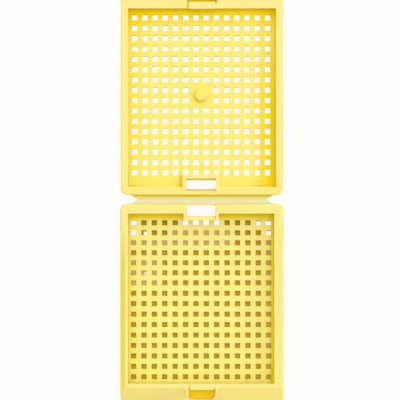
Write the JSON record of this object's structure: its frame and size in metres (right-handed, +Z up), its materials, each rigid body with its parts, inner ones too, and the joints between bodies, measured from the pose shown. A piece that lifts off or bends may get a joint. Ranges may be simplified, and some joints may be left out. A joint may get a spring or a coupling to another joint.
{
  "type": "tissue cassette",
  "caption": "Shallow perforated tray with a sloped writing face and a perforated latching lid, joined edge to edge by a thin living hinge and lying open flat.",
  "frame": {"origin": "centre of the open cassette's footprint, on the plane that the tray stands on", "axes": "+X along the hinge line, +Y from the tray towards the lid, +Z up out of the tray"},
  "size_m": [0.0286, 0.076, 0.0055],
  "materials": {
    "acetal": "satin yellow moulding"
  },
  "bodies": {
    "tray_body": {"tray": "acetal", "hinge_film": "acetal"},
    "lid_body": {"lid": "acetal"}
  },
  "joints": [
    {"name": "lid_hinge", "type": "hinge", "parent": "tray_body", "child": "lid_body", "pos_m": [0, 0.00146, 0.00505], "axis": [1, 0, 0], "range_deg": [0, 180]}
  ]
}
